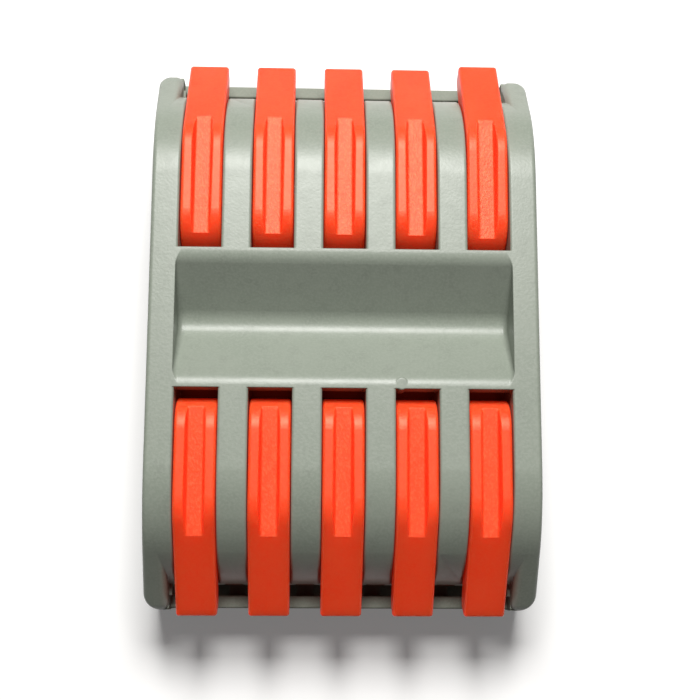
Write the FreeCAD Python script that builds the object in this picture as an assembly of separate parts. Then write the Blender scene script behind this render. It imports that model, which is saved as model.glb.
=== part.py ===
import FreeCAD, Part
import math
import os

# Ten-way lever wire connector: five poles side by side along X, one lever and one
# cage clamp at each end of every pole. Millimetres, +Z up, origin at the centre of
# the underside. Far means the +Y row of levers, near means the -Y row.

# Driving dimensions of the housing
POLES = 5
POLE_PITCH = 5.6
HEIGHT = 14.3
PARTING_Z = 6.9
TOP_HALF_WIDTH = 15.0
PARTING_HALF_WIDTH = 15.46
BOTTOM_HALF_WIDTH = 15.2
EAR_HALF_LENGTH = 22.1
EAR_THICKNESS = 1.5
EAR_CORNER_RADIUS = 1.3
EAR_NOSE_RADIUS = 1.2
RIB_HALF_LENGTH = 20.15
RIB_NOSE_RADIUS = 8.0
SLOPE_START_Y = 15.1
BEND_RADIUS = 9.0
RIM_RADIUS = 0.3
SLOT_RIM_RADIUS = 0.2
EAR_INNER_RADIUS = 0.6
FOOT_RADIUS = 0.35
SEAM_DEPTH = 0.12
SLOT_WIDTH = 3.32
SLOT_ROOT_Y = 5.44
SHELL_GAP = 0.04

# Trough between the two rows of levers
TROUGH_HALF_WIDTH = 4.69
TROUGH_HALF_LENGTH = 13.0
TROUGH_VERTEX_Z = 10.35
TROUGH_EDGE_RADIUS = 1.45
TROUGH_VALLEY_RADIUS = 1.65
TROUGH_CORNER_RADIUS = 0.4
GATE_X = 4.38
GATE_Y = -5.05
GATE_RADIUS = 0.5
GATE_RIM_RADIUS = 0.12

# Snap tongues of the lower shell and their windows in the upper shell
TONGUE_Y = 9.4
TONGUE_HALF_WIDTH = 1.5
TONGUE_CLEARANCE = 0.2
POCKET_INNER_X = 13.5
POCKET_OUTER_X = 14.35
WINDOW_FLOOR_Z = 8.3
WINDOW_TOP_Z = 9.7

# Wire entries, in the end walls of the lower shell
FLOOR_THICKNESS = 0.75
ENTRY_WIDTH = 4.2
ENTRY_TOP_Z = 4.95
LIP_TOP_Z = 5.45
LIP_RADIUS = 0.15
END_WALL_OUTER_Y = 22.0
END_WALL_INNER_Y = 21.0
ENTRY_CHAMFER = 0.3
ENTRY_CORNER_RADIUS = 0.2

# Levers
LEVER_WIDTH = 3.19
PIVOT_Y = 9.4
PIVOT_Z = 10.6
TRUNNION_RADIUS = 1.4
TRUNNION_REACH = 2.2
TRUNNION_CLEARANCE = 0.05
SWING_RADIUS = 4.4
AJAR_LEVER = "lever_far_5"
AJAR_ANGLE = 3.0
LEVER_RIM_RADIUS = 0.24
GROOVE_FLOOR_WIDTH = 1.24
GROOVE_WALL_SLOPE = 0.16
GROOVE_DEPTH_ROOM = 2.0
GROOVE_RIM_RADIUS = 0.1
GROOVE_FLOOR_RADIUS = 0.18

# Conductor bars and clamp springs
BAR_BOTTOM_Z = 5.0
BAR_THICKNESS = 1.0
BAR_WIDTH = 3.4
BAR_NOSE_WIDTH = 2.0
BAR_BODY_HALF_LENGTH = 13.3
BAR_HALF_LENGTH = 15.2
STRIP_THICKNESS = 0.3
STRIP_WIDTH = 3.0
LOOP_RADIUS = 1.0
LOOP_Y = 5.2
WINDOW_LEG_Y = 14.45
WINDOW_LEG_FOOT_Z = 4.25

X_AXIS = FreeCAD.Vector(1, 0, 0)
Y_AXIS = FreeCAD.Vector(0, 1, 0)
ORIGIN = FreeCAD.Vector(0, 0, 0)
CLAMP_TOP_Z = 8.6
CLAMP_END_Y = 15.4
POLE_CENTRES = [(n - (POLES - 1) / 2) * POLE_PITCH for n in range(POLES)]


def box(x0, x1, y0, y1, z0, z1):
    """A box between two corners."""
    return Part.makeBox(x1 - x0, y1 - y0, z1 - z0, FreeCAD.Vector(x0, y0, z0))


def outline_wire(corners, x):
    """A closed wire in the plane at x. Each corner is (y, z) where it is sharp, or
    (y, z, radius) where an arc tangent to both its runs rounds it."""
    points = [FreeCAD.Vector(x, corner[0], corner[1]) for corner in corners]
    ends = []
    for index, corner in enumerate(corners):
        here = points[index]
        to_last = (points[index - 1] - here).normalize()
        to_next = (points[(index + 1) % len(points)] - here).normalize()
        if len(corner) == 2:
            ends.append((here, None, here))
            continue
        half_angle = to_last.getAngle(to_next) / 2
        run = corner[2] / math.tan(half_angle)
        inward = (to_last + to_next).normalize()
        middle = here + inward * (corner[2] / math.sin(half_angle) - corner[2])
        ends.append((here + to_last * run, middle, here + to_next * run))
    edges = []
    for index, (start, middle, end) in enumerate(ends):
        last_end = ends[index - 1][2]
        if last_end.distanceToPoint(start) > 1e-6:
            edges.append(Part.LineSegment(last_end, start).toShape())
        if middle is not None:
            edges.append(Part.Arc(start, middle, end).toShape())
    return Part.Wire(edges)


def side_prism(corners, x0, x1):
    """A side outline in Y and Z, extruded from x0 to x1."""
    face = Part.Face(outline_wire(corners, x0))
    return face.extrude(FreeCAD.Vector(x1 - x0, 0, 0))


def near_copy(shape):
    """The same shape on the near side."""
    return shape.mirror(ORIGIN, Y_AXIS)


def both_sides(shape):
    """The shape and its mirror image on the near side, as one list."""
    return [shape, near_copy(shape)]


def at_poles(shape):
    """One copy of the shape at each pole."""
    return [shape.translated(FreeCAD.Vector(x, 0, 0)) for x in POLE_CENTRES]


def softened(shape, radius, wanted):
    """Rounds the edges that wanted(edge) picks out."""
    edges = [edge for edge in shape.Edges if wanted(edge)]
    return shape.makeFillet(radius, edges)


def end_outline(length, nose_radius):
    """Side view of an outer plate or a rib: flat top, a long bend, a 45 degree slope
    and a rounded nose that stands upright at its end."""
    slope_at_end = HEIGHT + SLOPE_START_Y - length
    return [(-length, 0), (length, 0), (length, slope_at_end, nose_radius),
            (SLOPE_START_Y, HEIGHT, BEND_RADIUS), (-SLOPE_START_Y, HEIGHT, BEND_RADIUS),
            (-length, slope_at_end, nose_radius)]


RIB_SIDE = outline_wire(end_outline(RIB_HALF_LENGTH, RIB_NOSE_RADIUS), 0)
EAR_SIDE = outline_wire(end_outline(EAR_HALF_LENGTH, EAR_NOSE_RADIUS), 0)


def plan_wire(half_width, z, inset=0.0):
    """The housing's plan at one height: a rectangle with rounded corners."""
    half_width = half_width - inset
    half_length = EAR_HALF_LENGTH - inset
    corner = FreeCAD.Vector(-half_width, -half_length, z)
    plan = Part.makePlane(2 * half_width, 2 * half_length, corner)
    block = plan.extrude(FreeCAD.Vector(0, 0, 1))
    block = softened(block, EAR_CORNER_RADIUS, lambda edge: edge.BoundBox.ZLength > 0.5)
    base = min(block.Faces, key=lambda face: face.CenterOfMass.z)
    return base.OuterWire


def drafted_block():
    """The whole housing's block, widest at the parting line."""
    bottom = plan_wire(BOTTOM_HALF_WIDTH, 0)
    parting = plan_wire(PARTING_HALF_WIDTH, PARTING_Z)
    top = plan_wire(TOP_HALF_WIDTH, HEIGHT)
    return Part.makeLoft([bottom, parting], True, True), Part.makeLoft([parting, top], True, True)


def trough():
    """The V between the lever rows, with a soft valley, soft upper edges and rounded
    corners where its sides meet its end walls."""
    beyond = TROUGH_HALF_WIDTH + 1
    corners = [(-beyond, HEIGHT + 2), (-beyond, HEIGHT),
               (-TROUGH_HALF_WIDTH, HEIGHT, TROUGH_EDGE_RADIUS),
               (0, TROUGH_VERTEX_Z, TROUGH_VALLEY_RADIUS),
               (TROUGH_HALF_WIDTH, HEIGHT, TROUGH_EDGE_RADIUS),
               (beyond, HEIGHT), (beyond, HEIGHT + 2)]
    room = side_prism(corners, -TROUGH_HALF_LENGTH, TROUGH_HALF_LENGTH)
    return softened(room, TROUGH_CORNER_RADIUS, is_trough_corner)


def is_trough_corner(edge):
    """True for the edges of the trough's room that run down its two end walls."""
    bounds = edge.BoundBox
    return bounds.XLength < 0.001 and bounds.ZMax < HEIGHT + 0.01 and bounds.YLength > 0.1


def end_recess(inner):
    """What is cut away between the ears, beyond the noses of the ribs."""
    room = box(-inner, inner, SLOPE_START_Y, 30, PARTING_Z - 1, HEIGHT + 1)
    return room.cut(side_prism(end_outline(RIB_HALF_LENGTH, RIB_NOSE_RADIUS), -inner, inner))


def pole_hollows():
    """What is cut out of the upper shell at one end of one pole: the lever slot,
    the room for the lever's root, the clamp chamber and the trunnion seats."""
    half_slot = SLOT_WIDTH / 2
    half_room = ENTRY_WIDTH / 2
    slot = box(-half_slot, half_slot, SLOT_ROOT_Y, CLAMP_END_Y, 8, HEIGHT + 2)
    over_guide = side_prism([(CLAMP_END_Y, CLAMP_TOP_Z), (RIB_HALF_LENGTH, 7.25), (30, 7.25),
                             (30, HEIGHT + 2), (CLAMP_END_Y, HEIGHT + 2)], -half_slot, half_slot)
    swing_end = FreeCAD.Vector(-half_slot, PIVOT_Y, PIVOT_Z)
    swing = Part.makeCylinder(SWING_RADIUS, SLOT_WIDTH, swing_end, X_AXIS)
    chamber = box(-half_room, half_room, 0.6, CLAMP_END_Y, 0, CLAMP_TOP_Z)
    under_rib = box(-half_room, half_room, -0.01, CLAMP_END_Y, 0, BAR_BOTTOM_Z + BAR_THICKNESS)
    channel = box(-half_room, half_room, 5, 30, 0, ENTRY_TOP_Z)
    seat_radius = TRUNNION_RADIUS + TRUNNION_CLEARANCE
    seat_reach = TRUNNION_REACH + TRUNNION_CLEARANCE
    seat_end = FreeCAD.Vector(-seat_reach, PIVOT_Y, PIVOT_Z)
    seat = Part.makeCylinder(seat_radius, 2 * seat_reach, seat_end, X_AXIS)
    seat_way = box(-seat_reach, seat_reach, PIVOT_Y - seat_radius, PIVOT_Y + seat_radius,
                   CLAMP_TOP_Z - 0.5, PIVOT_Z)
    return slot.multiFuse([over_guide, swing, chamber, under_rib, channel, seat, seat_way])


def snap_pockets():
    """Pockets in the side plates for the snap tongues, with windows to the outside."""
    pockets = []
    half = TONGUE_HALF_WIDTH + TONGUE_CLEARANCE
    for side in (-1, 1):
        for y in (-TONGUE_Y, TONGUE_Y):
            inner = sorted((side * POCKET_INNER_X, side * POCKET_OUTER_X))
            outer = sorted((side * POCKET_INNER_X, side * 16))
            pockets.append(box(inner[0], inner[1], y - half, y + half, PARTING_Z - 1, WINDOW_TOP_Z))
            pockets.append(box(outer[0], outer[1], y - half, y + half, WINDOW_FLOOR_Z, WINDOW_TOP_Z))
    return pockets


def gate_stub():
    """The trimmed stub of the moulding gate, at the near edge of the trough."""
    foot = FreeCAD.Vector(GATE_X, GATE_Y, HEIGHT - 2)
    stub = Part.makeCylinder(GATE_RADIUS, 2, foot)
    return softened(stub, GATE_RIM_RADIUS, lambda edge: edge.BoundBox.ZMin > HEIGHT - 0.01)


def middle_of(edge):
    """The point halfway along an edge, moved to the far side."""
    point = edge.valueAt((edge.FirstParameter + edge.LastParameter) / 2)
    return FreeCAD.Vector(point.x, abs(point.y), point.z)


def lies_on(wire, point):
    """True where a point's side view lies on an outline drawn at x = 0."""
    return wire.distToShape(Part.Vertex(0, point.y, point.z))[0] < 0.01


def is_outer_rim(edge):
    """True for the edges where the top of the outer block meets its side faces."""
    return edge.BoundBox.XLength < 2 and middle_of(edge).z > PARTING_Z + 0.05


def is_slot_rim(edge):
    """True for the top and nose edges of the ribs along the lever slots."""
    bounds = edge.BoundBox
    nearest = min(abs(abs(bounds.XMin - x) - SLOT_WIDTH / 2) for x in POLE_CENTRES)
    point = middle_of(edge)
    if bounds.XLength > 0.01 or nearest > 0.01 or point.y < SLOT_ROOT_Y or bounds.ZMin < PARTING_Z - 0.01:
        return False
    return lies_on(RIB_SIDE, point)


def is_ear_inner_rim(edge):
    """True for the upper edges of the ears' inner faces, beyond the ribs' noses."""
    point = middle_of(edge)
    on_inner_face = abs(abs(point.x) - (TOP_HALF_WIDTH - EAR_THICKNESS)) < 0.01
    if not on_inner_face or edge.BoundBox.XLength > 0.01 or point.y < 17 or point.z < PARTING_Z + 0.01:
        return False
    return lies_on(EAR_SIDE, point)


def upper_housing():
    """Top shell: outer plates, ribs, trough and the roofs of the wire guides."""
    inner = TOP_HALF_WIDTH - EAR_THICKNESS
    profile = side_prism(end_outline(EAR_HALF_LENGTH, EAR_NOSE_RADIUS), -20, 20)
    block = drafted_block()[1].common(profile)
    block = softened(block, RIM_RADIUS, is_outer_rim)
    plug_width = POLE_CENTRES[-1] + ENTRY_WIDTH / 2 - SHELL_GAP
    plug = box(-plug_width, plug_width, 0, RIB_HALF_LENGTH, ENTRY_TOP_Z, PARTING_Z + 0.5)
    for x in POLE_CENTRES[:-1]:
        wall = POLE_PITCH - ENTRY_WIDTH + 2 * SHELL_GAP
        middle = x + POLE_PITCH / 2
        plug = plug.cut(box(middle - wall / 2, middle + wall / 2, -1, 30, 0, PARTING_Z))
    cuts = [trough()] + both_sides(end_recess(inner)) + snap_pockets()
    for hollow in both_sides(pole_hollows()):
        cuts += at_poles(hollow)
    shell = block.cut(both_sides(end_recess(inner))).multiFuse(both_sides(plug))
    shell = shell.cut(cuts).removeSplitter()
    shell = softened(shell, SLOT_RIM_RADIUS, is_slot_rim)
    shell = softened(shell, EAR_INNER_RADIUS, is_ear_inner_rim)
    return shell.fuse(gate_stub())


def wire_mouth():
    """One wire entry through the far end wall, with a bevelled outer rim."""
    half = ENTRY_WIDTH / 2
    hole = box(-half, half, END_WALL_INNER_Y - 1, END_WALL_OUTER_Y + 1, FLOOR_THICKNESS, ENTRY_TOP_Z)
    hole = softened(hole, ENTRY_CORNER_RADIUS, lambda edge: edge.BoundBox.YLength > 1)
    rim = []
    for y, grow in ((END_WALL_OUTER_Y - ENTRY_CHAMFER, 0.0), (END_WALL_OUTER_Y + 0.1, ENTRY_CHAMFER + 0.1)):
        low = FLOOR_THICKNESS - grow
        high = ENTRY_TOP_Z + grow
        corners = [FreeCAD.Vector(-half - grow, y, low), FreeCAD.Vector(half + grow, y, low),
                   FreeCAD.Vector(half + grow, y, high), FreeCAD.Vector(-half - grow, y, high)]
        rim.append(Part.makePolygon(corners + [corners[0]]))
    return hole.fuse(Part.makeLoft(rim, True, True))


def snap_tongues():
    """Four upright tongues with outward noses that lock in the upper shell's windows."""
    tongues = []
    section = [(13.55, 6), (14.3, 6), (14.3, 8.4), (14.75, 8.4), (14.3, 9.4), (13.9, 9.6), (13.55, 9.6)]
    for side in (-1, 1):
        for y in (-TONGUE_Y, TONGUE_Y):
            start = y - TONGUE_HALF_WIDTH
            corners = [FreeCAD.Vector(side * x, start, z) for x, z in section]
            tongue = Part.Face(Part.makePolygon(corners + [corners[0]]))
            tongues.append(tongue.extrude(FreeCAD.Vector(0, 2 * TONGUE_HALF_WIDTH, 0)))
    return tongues


def seam_step():
    """A shallow step round the top of the lower shell, which shows as the seam."""
    face = Part.Face(plan_wire(PARTING_HALF_WIDTH, PARTING_Z - SEAM_DEPTH, SEAM_DEPTH))
    core = face.extrude(FreeCAD.Vector(0, 0, 1))
    return box(-20, 20, -30, 30, PARTING_Z - SEAM_DEPTH, PARTING_Z + 0.5).cut(core)


def is_foot_rim(edge):
    """True for the outer edges of the block's flat bottom."""
    return edge.BoundBox.ZMax < 0.01


def is_lip_rim(edge):
    """True for the long top edges of the two lips over the wire entries."""
    bounds = edge.BoundBox
    return bounds.ZLength < 0.01 and abs(bounds.ZMin - LIP_TOP_Z) < 0.01 and bounds.XLength > 20


def lower_housing():
    """Bottom shell: floor, outer walls, partitions between the poles, the end walls
    with the wire entries, and the posts that stop the wires and carry the bars."""
    inner_x = POLE_CENTRES[-1] + ENTRY_WIDTH / 2
    top = PARTING_Z - 0.02
    profile = side_prism(end_outline(EAR_HALF_LENGTH, EAR_NOSE_RADIUS), -20, 20)
    shell = drafted_block()[0].common(profile).common(box(-20, 20, -30, 30, 0, top))
    shell = softened(shell, FOOT_RADIUS, is_foot_rim)
    shell = shell.cut(box(-inner_x, inner_x, -END_WALL_INNER_Y, END_WALL_INNER_Y, FLOOR_THICKNESS, 10))
    lip_half = TOP_HALF_WIDTH - EAR_THICKNESS
    lip_cut = box(-lip_half, lip_half, END_WALL_INNER_Y - 0.01, 30, LIP_TOP_Z, 10)
    face_cut = box(-lip_half, lip_half, END_WALL_OUTER_Y, 30, -1, 10)
    walls = []
    wall = POLE_PITCH - ENTRY_WIDTH
    for x in POLE_CENTRES[:-1]:
        middle = x + POLE_PITCH / 2
        tall = box(middle - wall / 2, middle + wall / 2, -RIB_HALF_LENGTH, RIB_HALF_LENGTH, 0.4, top)
        low = box(middle - wall / 2, middle + wall / 2, -21.2, 21.2, 0.4, 1.6)
        walls += [tall, low]
    half_post = ENTRY_WIDTH / 2 + 0.01
    post = box(-half_post, half_post, 4.4, 5.4, 0.4, BAR_BOTTOM_Z)
    for shape in both_sides(post):
        walls += at_poles(shape)
    cuts = both_sides(lip_cut) + both_sides(face_cut) + [seam_step()]
    for mouth in both_sides(wire_mouth()):
        cuts += at_poles(mouth)
    shell = shell.multiFuse(walls).cut(cuts).multiFuse(snap_tongues()).removeSplitter()
    return softened(shell, LIP_RADIUS, is_lip_rim)


def lever_outline():
    """Side view of a closed far lever: flat rails, a 36 degree tip facet, a blunt
    tip, and a root whose flat back holds the clamp open when the lever is up."""
    return [(5.95, 14.1, 2.6), (5.95, 8.95, 0.8), (9.4, 8.3, 2.2), (14.6, 10.55, 3), (21.2, 6.98),
            (21.9, 6.98, 0.5), (22.62, 8.43, 0.3), (14.85, 14.03, 3.6)]


def is_lever_rim(edge):
    """True for the flank edges along the lever's back, top and tip."""
    if edge.BoundBox.XLength > 0.001:
        return False
    point = middle_of(edge)
    at_back = point.y < 8.6 and point.z > 9.6
    at_top = point.z > 13.3
    at_facet = point.y > 15.7 and edge.BoundBox.ZMax > 13
    at_tip = point.y > 21.85
    return at_back or at_top or at_facet or at_tip


def is_groove_rim(edge):
    """True for the upper edges of the finger groove's two walls."""
    bounds = edge.BoundBox
    point = middle_of(edge)
    on_floor = bounds.XLength < 0.001 and abs(abs(point.x) - GROOVE_FLOOR_WIDTH / 2) < 0.001
    return 0.6 < abs(point.x) < 1.0 and point.z > 12.6 and bounds.YLength > 0.3 and not on_floor


def is_groove_corner(edge):
    """True for the two edges along the floor of the finger groove."""
    bounds = edge.BoundBox
    on_floor = bounds.XLength < 0.001 and abs(abs(bounds.XMin) - GROOVE_FLOOR_WIDTH / 2) < 0.001
    return on_floor and bounds.YLength > 5


def finger_groove():
    """A groove along the lever's back with a flat floor and leaning walls. Its floor
    runs out flush at both ends, on the root and on the tip facet."""
    floor_half = GROOVE_FLOOR_WIDTH / 2
    top_half = floor_half + GROOVE_DEPTH_ROOM * GROOVE_WALL_SLOPE
    start_y = 5.0
    start_z = 13.51
    corners = [(-floor_half, 0), (floor_half, 0),
               (top_half, GROOVE_DEPTH_ROOM), (-top_half, GROOVE_DEPTH_ROOM)]
    section = [FreeCAD.Vector(x, start_y, start_z + z) for x, z in corners]
    along = FreeCAD.Vector(0, 13.0, -0.8)
    return Part.Face(Part.makePolygon(section + [section[0]])).extrude(along)


def lever():
    """A far lever at the middle pole, with its finger groove, the relief under its
    tip and its two trunnions."""
    half = LEVER_WIDTH / 2
    body = softened(side_prism(lever_outline(), -half, half), LEVER_RIM_RADIUS, is_lever_rim)
    relief = side_prism([(12.4, 8.0), (12.4, 10.3), (20.3, 8.15), (20.9, 6.5)], -0.85, 0.85)
    body = body.cut([finger_groove(), relief]).removeSplitter()
    body = softened(body, GROOVE_RIM_RADIUS, is_groove_rim)
    body = softened(body, GROOVE_FLOOR_RADIUS, is_groove_corner)
    trunnions = Part.makeCylinder(TRUNNION_RADIUS, 2 * TRUNNION_REACH,
                                  FreeCAD.Vector(-TRUNNION_REACH, PIVOT_Y, PIVOT_Z), X_AXIS)
    return body.fuse(trunnions).removeSplitter()


def strip_outline():
    """Side view of a clamp spring: a leg on the bar, a loop, a leg under the lever
    and a window leg that turns down past the end of the bar."""
    low = BAR_BOTTOM_Z + BAR_THICKNESS
    high = low + 2 * LOOP_RADIUS + STRIP_THICKNESS
    inner = LOOP_RADIUS - STRIP_THICKNESS / 2
    outer = LOOP_RADIUS + STRIP_THICKNESS / 2
    back = LOOP_Y - outer
    window_leg = WINDOW_LEG_Y - STRIP_THICKNESS
    inner_back = back + STRIP_THICKNESS
    under_top = high - STRIP_THICKNESS
    return [(12.6, low), (12.6, low + STRIP_THICKNESS), (inner_back, low + STRIP_THICKNESS, inner),
            (inner_back, under_top, inner), (window_leg, under_top, 0.4),
            (window_leg, WINDOW_LEG_FOOT_Z), (WINDOW_LEG_Y, WINDOW_LEG_FOOT_Z), (WINDOW_LEG_Y, high, 0.7),
            (back, high, outer), (back, low, outer)]


def clamp_spring():
    """A stainless cage clamp spring for the far end of the middle pole."""
    half = STRIP_WIDTH / 2
    strip = side_prism(strip_outline(), -half, half)
    window = box(-BAR_NOSE_WIDTH / 2 - 0.1, BAR_NOSE_WIDTH / 2 + 0.1, 13.9, 15,
                 BAR_BOTTOM_Z - 0.06, 7.4)
    return strip.cut(window)


def conductor_bar():
    """The copper bar of the middle pole, running through both of its clamps."""
    half = BAR_WIDTH / 2
    nose = BAR_NOSE_WIDTH / 2
    length = BAR_BODY_HALF_LENGTH
    tip = BAR_HALF_LENGTH
    plan = [(half, 0), (half, length - 0.4), (half - 0.4, length), (nose, length),
            (nose, tip - 0.4), (nose - 0.3, tip)]
    far = [FreeCAD.Vector(x, y, BAR_BOTTOM_Z) for x, y in plan]
    far += [FreeCAD.Vector(-x, y, BAR_BOTTOM_Z) for x, y in reversed(plan)]
    far_half = Part.Face(Part.makePolygon(far + [far[0]])).extrude(FreeCAD.Vector(0, 0, BAR_THICKNESS))
    return far_half.fuse(near_copy(far_half)).removeSplitter()


def save(node, shape):
    """Writes one node and prints its size, as a check on the model."""
    solids = len(shape.Solids)
    print(node, "solids", solids, "valid", shape.isValid(), "volume %.2f" % shape.Volume)
    single = shape.Solids[0] if solids == 1 else shape
    single.exportStep("parts/" + node + ".step")


os.makedirs("parts", exist_ok=True)
save("upper_housing", upper_housing())
save("lower_housing", lower_housing())
for kind, shape in (("lever", lever()), ("clamp_spring", clamp_spring())):
    for row, sided in (("far", shape), ("near", near_copy(shape))):
        for number, copy in enumerate(at_poles(sided), start=1):
            node = "%s_%s_%d" % (kind, row, number)
            if node == AJAR_LEVER:
                copy.rotate(FreeCAD.Vector(0, PIVOT_Y, PIVOT_Z), X_AXIS, AJAR_ANGLE)
            save(node, copy)
for number, copy in enumerate(at_poles(conductor_bar()), start=1):
    save("conductor_bar_%d" % number, copy)
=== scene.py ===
import math

import bmesh
import bpy
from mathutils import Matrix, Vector


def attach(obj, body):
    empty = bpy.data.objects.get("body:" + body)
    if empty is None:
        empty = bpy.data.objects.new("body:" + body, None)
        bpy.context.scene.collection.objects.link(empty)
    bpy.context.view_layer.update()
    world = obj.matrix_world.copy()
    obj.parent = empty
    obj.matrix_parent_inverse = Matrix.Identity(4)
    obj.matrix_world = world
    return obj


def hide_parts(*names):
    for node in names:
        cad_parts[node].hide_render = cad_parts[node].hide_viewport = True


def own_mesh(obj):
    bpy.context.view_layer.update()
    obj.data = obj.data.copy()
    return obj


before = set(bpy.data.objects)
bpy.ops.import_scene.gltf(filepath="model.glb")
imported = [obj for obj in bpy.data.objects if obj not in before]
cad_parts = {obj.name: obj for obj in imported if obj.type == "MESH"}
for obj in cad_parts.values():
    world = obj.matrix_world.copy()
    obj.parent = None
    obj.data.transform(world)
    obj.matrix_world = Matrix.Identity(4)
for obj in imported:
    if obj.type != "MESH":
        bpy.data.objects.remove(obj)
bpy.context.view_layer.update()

# Lower shell: the floor, the outer walls, the partitions and the end walls with the wire
# entries. It is moulded in one piece from grey polyamide, in a spark-eroded tool, so every
# face carries a fine matt grain and the flow of the melt shows as faint clouds.
MM = 0.001
GREY_MID = (0.232, 0.262, 0.218, 1.0)
GREY_LIGHT = (0.262, 0.29, 0.245, 1.0)
GREY_DARK = (0.2, 0.222, 0.187, 1.0)
GREY_WORN = (0.34, 0.365, 0.32, 1.0)
POLYAMIDE_IOR = 1.53
CLOUD_SIZE = 6 * MM
PATCH_SIZE = 1.1 * MM
GRAIN_SIZE = 0.2 * MM
SHELL_EDGE = 0.14 * MM
SINK_DEPTH = 0.04 * MM
GRAIN_DEPTH = 0.02 * MM
LOWER_SHIFT = (3.1, 0.4, 7.7)
LOWER_SHINE = 0.1
LOWER_DULLNESS = 0.6


class Signal:
    """One output socket of a finish. Python arithmetic on it adds Math nodes."""

    def __init__(self, finish, socket):
        self.finish = finish
        self.socket = socket

    def math(self, operation, first, second=0.0):
        return self.finish.add("ShaderNodeMath", {"operation": operation}, {0: first, 1: second})

    def __add__(self, other):
        return self.math("ADD", self, other)

    __radd__ = __add__

    def __sub__(self, other):
        return self.math("SUBTRACT", self, other)

    def __rsub__(self, other):
        return self.math("SUBTRACT", other, self)

    def __mul__(self, other):
        return self.math("MULTIPLY", self, other)

    __rmul__ = __mul__

    def __abs__(self):
        return self.math("ABSOLUTE", self)

    def fade(self, start, end):
        """0 up to start and 1 from end on, with a soft passage between."""
        return self.finish.add("ShaderNodeMapRange", {"interpolation_type": "SMOOTHSTEP"},
                               {"Value": self, "From Min": start, "From Max": end})


class Finish:
    """A material being made, with the shader that all its signals end in."""

    def __init__(self, name, shader_values):
        self.material = bpy.data.materials.new(name)
        self.material.use_nodes = True
        self.tree = self.material.node_tree
        self.shader = self.tree.nodes["Principled BSDF"]
        for socket, value in shader_values.items():
            self.shader.inputs[socket].default_value = value
        self.place = self.add("ShaderNodeTexCoord", {}, {}, "Object")

    def add(self, kind, settings, sockets, output=0):
        """A node of any kind: its settings first, then its sockets' values or links."""
        node = self.tree.nodes.new(kind)
        for name, value in settings.items():
            setattr(node, name, value)
        for name, value in sockets.items():
            self.feed(node.inputs[name], value)
        return Signal(self, node.outputs[output])

    def feed(self, socket, value):
        if isinstance(value, Signal):
            self.tree.links.new(value.socket, socket)
        else:
            socket.default_value = value

    def noise(self, size, detail=2.0, stretch=(1.0, 1.0, 1.0), shift=(0.0, 0.0, 0.0)):
        """Clouds of about the given size in metres, drawn out by stretch along each axis."""
        scale = tuple(1 / (size * axis) for axis in stretch)
        moved = self.add("ShaderNodeMapping", {}, {"Vector": self.place, "Scale": scale, "Location": shift})
        return self.add("ShaderNodeTexNoise", {}, {"Vector": moved, "Scale": 1.0, "Detail": detail})

    def blend(self, mask, first, second):
        """A colour that passes from first to second as the mask goes from 0 to 1."""
        return self.add("ShaderNodeMix", {"data_type": "RGBA"}, {0: mask, 6: first, 7: second}, 2)

    def rounded(self, radius):
        """The surface's direction, turned softly over its sharp edges."""
        return self.add("ShaderNodeBevel", {"samples": 6}, {"Radius": radius})

    def edges(self, rounded):
        """1 where the rounded direction leaves the face's own, 0 on faces."""
        straight = self.add("ShaderNodeNewGeometry", {}, {}, "Normal")
        facing = self.add("ShaderNodeVectorMath", {"operation": "DOT_PRODUCT"},
                          {0: rounded, 1: straight}, "Value")
        return (1 - facing).fade(0.004, 0.12)

    def bump(self, height, distance, strength, under=None):
        sockets = {"Height": height, "Distance": distance, "Strength": strength}
        if under is not None:
            sockets["Normal"] = under
        return self.add("ShaderNodeBump", {}, sockets)

    def end_in(self, **signals):
        for socket, signal in signals.items():
            self.feed(self.shader.inputs[socket.replace("_", " ").title()], signal)
        return self.material


def moulded_grey(name, shift, shine, dullness):
    """Grey polyamide with flow clouds, spark-eroded grain and slightly burnished edges."""
    grey = Finish(name, {"IOR": POLYAMIDE_IOR, "Specular IOR Level": shine})
    clouds = grey.noise(CLOUD_SIZE, 3.0, shift=shift)
    patches = grey.noise(PATCH_SIZE, 3.0, shift=shift)
    grain = grey.noise(GRAIN_SIZE, 3.0, shift=shift)
    softened = grey.rounded(SHELL_EDGE)
    worn = grey.edges(softened)
    colour = grey.blend(clouds.fade(0.3, 0.7) * 0.5, GREY_MID, GREY_LIGHT)
    colour = grey.blend(patches.fade(0.45, 0.8) * 0.5, colour, GREY_DARK)
    colour = grey.blend(grain.fade(0.42, 0.62) * 0.7, colour, GREY_LIGHT)
    colour = grey.blend(worn * 0.3, colour, GREY_WORN)
    sunk = grey.bump(clouds, SINK_DEPTH, 0.2, softened)
    matt = grey.bump(grain, GRAIN_DEPTH, 0.5, sunk)
    roughness = dullness + 0.1 * patches + 0.07 * grain - 0.05 * worn
    return grey.end_in(base_color=colour, roughness=roughness, normal=matt)


def give(node, material):
    """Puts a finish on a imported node, in its own material slots."""
    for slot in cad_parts[node].material_slots:
        slot.material = material


give("lower_housing", moulded_grey("lower_shell_grey", LOWER_SHIFT, LOWER_SHINE, LOWER_DULLNESS))

# Conductor bars: one flat bar under each pair of levers, joining both clamps. They are
# stamped from copper, tinned in a bath and laid on the posts of the lower shell, so the
# tin is a little uneven and duller where the sheet was sheared.
TIN_LIGHT = (0.74, 0.73, 0.71, 1.0)
TIN_DULL = (0.5, 0.49, 0.47, 1.0)
COPPER_SHOWING = (0.66, 0.38, 0.26, 1.0)
TIN_CLOUD_SIZE = 1.4 * MM
ROLLING_SIZE = 0.12 * MM
ROLLING_DEPTH = 0.006 * MM
SHEARED_EDGE = 0.12 * MM
POLES = 5
POLE_PITCH = 5.6 * MM

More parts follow.
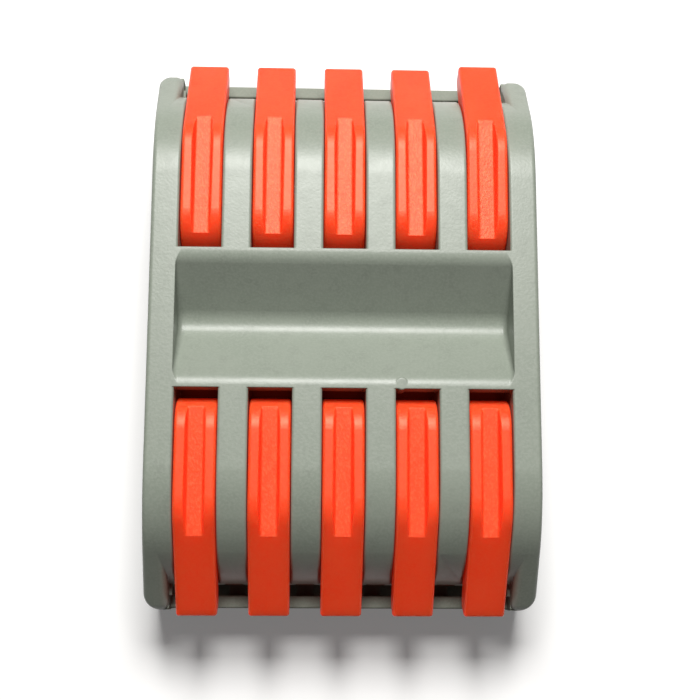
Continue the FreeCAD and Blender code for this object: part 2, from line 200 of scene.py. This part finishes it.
tinned = Finish("tinned_copper_bar", {"Metallic": 1.0})
tin_clouds = tinned.noise(TIN_CLOUD_SIZE, 4.0)
rolling = tinned.noise(ROLLING_SIZE, 3.0, (1.0, 14.0, 1.0))
sheared = tinned.edges(tinned.rounded(SHEARED_EDGE))
tin_colour = tinned.blend(tin_clouds.fade(0.35, 0.7), TIN_LIGHT, TIN_DULL)
tin_colour = tinned.blend(sheared * 0.3, tin_colour, COPPER_SHOWING)
tinned.end_in(base_color=tin_colour, roughness=0.24 + 0.2 * tin_clouds + 0.1 * rolling,
              normal=tinned.bump(rolling, ROLLING_DEPTH, 0.4))
for number in range(1, POLES + 1):
    give(f"conductor_bar_{number}", tinned.material)

# Clamp springs: ten cages bent from hard stainless strip, hooked over the ends of the
# bars. A leg lies on the bar, a loop carries the upper leg under the lever's root, and
# the end leg turns down past the bar with a window that the bar's nose passes through.
STRIP = 0.3 * MM
STRIP_HALF_WIDTH = 1.5 * MM
WINDOW_HALF_WIDTH = 1.1 * MM
WINDOW_BOTTOM = 4.94 * MM
WINDOW_TOP = 7.4 * MM
BAR_TOP = 6.0 * MM
LEG_END_Y = 12.6 * MM
LOOP_CENTRE = (5.2 * MM, 7.15 * MM)
LOOP_BEND = 1.0 * MM
END_BEND_CENTRE = (13.75 * MM, 7.6 * MM)
END_BEND = 0.55 * MM
FOOT_Z = 4.25 * MM
BOW_RUN_Y = 9 * MM
LEG_MIDDLE_Z = 6.2 * MM
STRIP_EDGE = 0.05 * MM
DEBURRED_OVER = math.radians(40)
SMOOTH_UNDER = math.radians(35)
STEEL_LIGHT = (0.62, 0.61, 0.59, 1.0)
STEEL_DARK = (0.44, 0.43, 0.42, 1.0)
BRUSHING_SIZE = 0.06 * MM
BRUSHING_DEPTH = 0.004 * MM
BLUING_SIZE = 2.2 * MM

steel = Finish("stainless_strip", {"Metallic": 1.0})
brushing = steel.noise(BRUSHING_SIZE, 2.0, (1.0, 22.0, 22.0))
bluing = steel.noise(BLUING_SIZE, 3.0)
steel_colour = steel.blend(brushing.fade(0.35, 0.7), STEEL_LIGHT, STEEL_DARK)
steel_colour = steel.blend(bluing.fade(0.5, 0.8) * 0.4, steel_colour, STEEL_DARK)
steel.end_in(base_color=steel_colour, roughness=0.22 + 0.16 * brushing + 0.08 * bluing,
             normal=steel.bump(brushing, BRUSHING_DEPTH, 0.5))


def bend(centre, radius, start, end, steps):
    """Points of an arc in the side view, from one angle to another in degrees."""
    points = []
    for step in range(steps + 1):
        angle = math.radians(start + (end - start) * step / steps)
        points.append((centre[0] + radius * math.cos(angle), centre[1] + radius * math.sin(angle)))
    return points


def bent_strip(name, route, side, centre_x):
    """Strip steel along a side-view route of (y, z), with its window left open."""
    columns = (-STRIP_HALF_WIDTH, -WINDOW_HALF_WIDTH, WINDOW_HALF_WIDTH, STRIP_HALF_WIDTH)
    sheet = bmesh.new()
    rows = [[sheet.verts.new((centre_x + x, side * y, z)) for x in columns] for y, z in route]
    past_bar = END_BEND_CENTRE[0] + 0.5 * END_BEND
    for index in range(len(route) - 1):
        middle_z = (route[index][1] + route[index + 1][1]) / 2
        in_window = WINDOW_BOTTOM < middle_z < WINDOW_TOP and route[index][0] > past_bar
        for column in range(len(columns) - 1):
            if in_window and column == 1:
                continue
            sheet.faces.new((rows[index][column], rows[index][column + 1],
                             rows[index + 1][column + 1], rows[index + 1][column]))
    bmesh.ops.recalc_face_normals(sheet, faces=sheet.faces)
    flat = bpy.data.meshes.new(name + "_sheet")
    sheet.to_mesh(flat)
    sheet.free()
    maker = bpy.data.objects.new(name + "_maker", flat)
    bpy.context.scene.collection.objects.link(maker)
    thick = maker.modifiers.new("strip", "SOLIDIFY")
    thick.thickness = STRIP
    thick.offset = 0.0
    thick.use_even_offset = True
    deburred = maker.modifiers.new("edge", "BEVEL")
    deburred.width = STRIP_EDGE
    deburred.segments = 2
    deburred.limit_method = "ANGLE"
    deburred.angle_limit = DEBURRED_OVER
    worked = maker.evaluated_get(bpy.context.evaluated_depsgraph_get())
    finished = bpy.data.meshes.new_from_object(worked)
    finished.name = name
    bpy.data.objects.remove(maker)
    bpy.data.meshes.remove(flat)
    for face in finished.polygons:
        face.use_smooth = True
    finished.set_sharp_from_angle(angle=SMOOTH_UNDER)
    finished.materials.clear()
    finished.materials.append(steel.material)
    piece = bpy.data.objects.new(name, finished)
    bpy.context.scene.collection.objects.link(piece)
    return piece


bow_route = [(LEG_END_Y, BAR_TOP + STRIP / 2), (BOW_RUN_Y, BAR_TOP + STRIP / 2)]
bow_route += bend(LOOP_CENTRE, LOOP_BEND, 270, 90, 16)
bow_route += [(BOW_RUN_Y, LOOP_CENTRE[1] + LOOP_BEND), (END_BEND_CENTRE[0], LOOP_CENTRE[1] + LOOP_BEND)]
end_leg_route = bend(END_BEND_CENTRE, END_BEND, 90, 0, 8)
end_leg_levels = (WINDOW_TOP, LEG_MIDDLE_Z, WINDOW_BOTTOM, FOOT_Z)
end_leg_route += [(END_BEND_CENTRE[0] + END_BEND, z) for z in end_leg_levels]

for row, side in (("far", 1), ("near", -1)):
    for number in range(1, POLES + 1):
        pole_x = (number - (POLES + 1) / 2) * POLE_PITCH
        node = f"clamp_spring_{row}_{number}"
        bow = bent_strip(node + "_bow", bow_route, side, pole_x)
        end_leg = bent_strip(node + "_end_leg", end_leg_route, side, pole_x)
        for piece in (bow, end_leg):
            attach(piece, "housing")
            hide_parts(node)
        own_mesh(bow)
        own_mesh(end_leg)

# Levers: ten orange levers, moulded in one piece with the trunnions that they turn on and
# snapped into the ribs of the upper shell. The finger groove is left rough in the tool for
# grip, and the rails beside it are smoother and catch the light. The levers carry a faint red
# self-glow, painted light that brightens their shaded facets, and the light specks on the
# groove floor are partly the floor's grain and partly painted glints.
ORANGE_MID = (1.0, 0.064, 0.016, 1.0)
ORANGE_LIGHT = (1.0, 0.085, 0.026, 1.0)
ORANGE_DEEP = (0.95, 0.045, 0.01, 1.0)
# Lighter orange for the rubbed edges' wear, and for painted glints on the groove floor.
ORANGE_WEAR_AND_GLINT = (1.0, 0.15, 0.055, 1.0)
AMBER_GLOSS = (1.0, 0.86, 0.62, 1.0)
# Painted light: a faint red self-glow of the levers that brightens their shaded facets; they are no lamp.
PAINTED_RED_GLOW = (1.0, 0.03, 0.004, 1.0)
PAINTED_RED_GLOW_STRENGTH = 0.1
LEVER_SHINE = 0.34
SCATTER_SHARE = 0.7
SCATTER_RADIUS = (1.0, 0.12, 0.05)
SCATTER_DEPTH = 2.2 * MM
MELT_SIZE = 3.2 * MM
MOTTLE_SIZE = 0.5 * MM
PORE_SIZE = 0.2 * MM
DRAG_SIZE = 0.17 * MM
LEVER_EDGE = 0.1 * MM
FLOOR_MARGIN = 0.1 * MM
WAVE_DEPTH = 0.03 * MM
PORE_DEPTH = 0.02 * MM
DRAG_DEPTH = 0.05 * MM
GROOVE_HALF_WIDTH = 0.6 * MM
GROOVE_START = (5.0 * MM, 13.51 * MM)
GROOVE_FALL = 0.8 / 13
PIVOT = (0.0, 9.4 * MM, 10.6 * MM)
AJAR_LEVER = "lever_far_5"
AJAR_ANGLE = math.radians(3)


def moulded_orange(name, tilt):
    """Orange polyamide for levers whose shape stands open by tilt at rest, with a faint red painted glow
    that lifts its shaded facets.
    """
    orange = Finish(name, {"IOR": POLYAMIDE_IOR, "Specular IOR Level": LEVER_SHINE,
                           "Specular Tint": AMBER_GLOSS, "Emission Color": PAINTED_RED_GLOW,
                           "Emission Strength": PAINTED_RED_GLOW_STRENGTH, "Subsurface Weight": SCATTER_SHARE,
                           "Subsurface Radius": SCATTER_RADIUS, "Subsurface Scale": SCATTER_DEPTH})
    closed = orange.add("ShaderNodeVectorRotate", {"rotation_type": "X_AXIS"},
                        {"Vector": orange.place, "Center": PIVOT, "Angle": -tilt})
    x, y, z = [orange.add("ShaderNodeSeparateXYZ", {}, {"Vector": closed}, axis) for axis in "XYZ"]
    melt = orange.noise(MELT_SIZE, 3.0, (1.0, 2.2, 1.0))
    mottle = orange.noise(MOTTLE_SIZE, 3.0)
    pores = orange.noise(PORE_SIZE, 3.0)
    floor_grain_and_glints = orange.noise(DRAG_SIZE, 3.0, (1.0, 1.5, 1.0))
    across = abs(orange.add("ShaderNodeMath", {"operation": "WRAP"},
                            {0: x, 1: POLE_PITCH / 2, 2: -POLE_PITCH / 2}))
    above = abs(z - (GROOVE_START[1] + GROOVE_FALL * GROOVE_START[0]) + GROOVE_FALL * abs(y))
    between_rails = across.fade(GROOVE_HALF_WIDTH, GROOVE_HALF_WIDTH - FLOOR_MARGIN)
    floor = between_rails * above.fade(0.07 * MM, 0.02 * MM)
    softened = orange.rounded(LEVER_EDGE)
    rubbed = orange.edges(softened)
    colour = orange.blend(melt.fade(0.3, 0.7) * 0.6, ORANGE_MID, ORANGE_LIGHT)
    colour = orange.blend(mottle.fade(0.45, 0.8) * 0.35, colour, ORANGE_DEEP)
    colour = orange.blend(pores.fade(0.42, 0.62) * 0.6, colour, ORANGE_LIGHT)
    # Lighter specks on the groove floor: partly the rough floor's grain, partly painted glints.
    colour = orange.blend(floor * floor_grain_and_glints.fade(0.48, 0.66) * 0.5, colour, ORANGE_WEAR_AND_GLINT)
    colour = orange.blend(rubbed * 0.25, colour, ORANGE_WEAR_AND_GLINT)
    waves = orange.bump(melt, WAVE_DEPTH, 0.2, softened)
    fine = orange.bump(pores, PORE_DEPTH, 0.5, waves)
    rough = orange.bump(floor * floor_grain_and_glints, DRAG_DEPTH, 0.6, fine)
    roughness = 0.33 + 0.1 * mottle + 0.06 * pores + 0.05 * floor - 0.05 * rubbed
    return orange.end_in(base_color=colour, roughness=roughness, normal=rough)


closed_orange = moulded_orange("closed_lever_orange", 0.0)
ajar_orange = moulded_orange("ajar_lever_orange", AJAR_ANGLE)
for row in ("far", "near"):
    for number in range(1, POLES + 1):
        node = f"lever_{row}_{number}"
        give(node, ajar_orange if node == AJAR_LEVER else closed_orange)

# Upper shell: the ribs between the levers, the two outer plates and the V trough, moulded
# from the same grey polyamide as the lower shell and snapped down over it.
UPPER_SHIFT = (0.0, 0.0, 0.0)
UPPER_SHINE = 0.37
UPPER_DULLNESS = 0.28

give("upper_housing", moulded_grey("upper_shell_grey", UPPER_SHIFT, UPPER_SHINE, UPPER_DULLNESS))

# Stage: a plain pale table top lit faintly from within, which keeps the shadow soft, a large
# soft lamp beyond the far row of levers, and a faint even sky that fills the shaded sides.
FLOOR_HALF = 0.8
FLOOR_PALE = (0.86, 0.86, 0.86, 1.0)
FLOOR_SHADE = (0.84, 0.84, 0.84, 1.0)
TABLE_GLOW = (1.0, 1.0, 1.0, 1.0)
TABLE_GLOW_STRENGTH = 0.15
FLOOR_CLOUD_SIZE = 40 * MM
LAMP_AIM = (0.0, 0.476, 0.88)
LAMP_DISTANCE = 0.25
LAMP_SIZE = 0.1
LAMP_POWER = 0.92
LAMP_COLOUR = (1.0, 0.99, 0.97)
SKY_COLOUR = (1.0, 0.97, 0.94, 1.0)
SKY_STRENGTH = 0.05

table_mesh = bpy.data.meshes.new("table_top")
corners = [(-FLOOR_HALF, -FLOOR_HALF, 0), (FLOOR_HALF, -FLOOR_HALF, 0),
           (FLOOR_HALF, FLOOR_HALF, 0), (-FLOOR_HALF, FLOOR_HALF, 0)]
table_mesh.from_pydata(corners, [], [(0, 1, 2, 3)])
table = bpy.data.objects.new("table_top", table_mesh)
bpy.context.scene.collection.objects.link(table)
pale = Finish("pale_table", {"Roughness": 0.9, "Emission Color": TABLE_GLOW,
                             "Emission Strength": TABLE_GLOW_STRENGTH})
pale.end_in(base_color=pale.blend(pale.noise(FLOOR_CLOUD_SIZE, 3.0), FLOOR_PALE, FLOOR_SHADE))
table_mesh.materials.append(pale.material)
table.visible_diffuse = False

light = bpy.data.lights.new("key_lamp", "AREA")
light.shape = "SQUARE"
light.size = LAMP_SIZE
light.energy = LAMP_POWER
light.color = LAMP_COLOUR
holder = bpy.data.objects.new("key_lamp", light)
bpy.context.scene.collection.objects.link(holder)
direction = Vector(LAMP_AIM).normalized()
holder.location = direction * LAMP_DISTANCE
holder.rotation_euler = direction.to_track_quat("Z", "Y").to_euler()

sky = bpy.data.worlds.new("studio_sky")
sky.use_nodes = True
sky.node_tree.nodes["Background"].inputs["Color"].default_value = SKY_COLOUR
sky.node_tree.nodes["Background"].inputs["Strength"].default_value = SKY_STRENGTH
bpy.context.scene.world = sky
bpy.context.scene.view_settings.view_transform = "Standard"

# Camera: above the near row of levers, looking down and a little towards the far row.
CAMERA_LENS = 66.38
CAMERA_SENSOR = 36.0
CAMERA_CLIP = 0.001
CAMERA_PLACE = (-2.869 * MM, -19.936 * MM, 110.983 * MM)
CAMERA_TURN = (10.198, -1.998, 0.235)

camera_data = bpy.data.cameras.new("camera")
camera_data.lens = CAMERA_LENS
camera_data.sensor_width = CAMERA_SENSOR
camera_data.clip_start = CAMERA_CLIP
camera = bpy.data.objects.new("camera", camera_data)
camera.location = CAMERA_PLACE
camera.rotation_euler = [math.radians(angle) for angle in CAMERA_TURN]
bpy.context.scene.collection.objects.link(camera)
bpy.context.scene.camera = camera
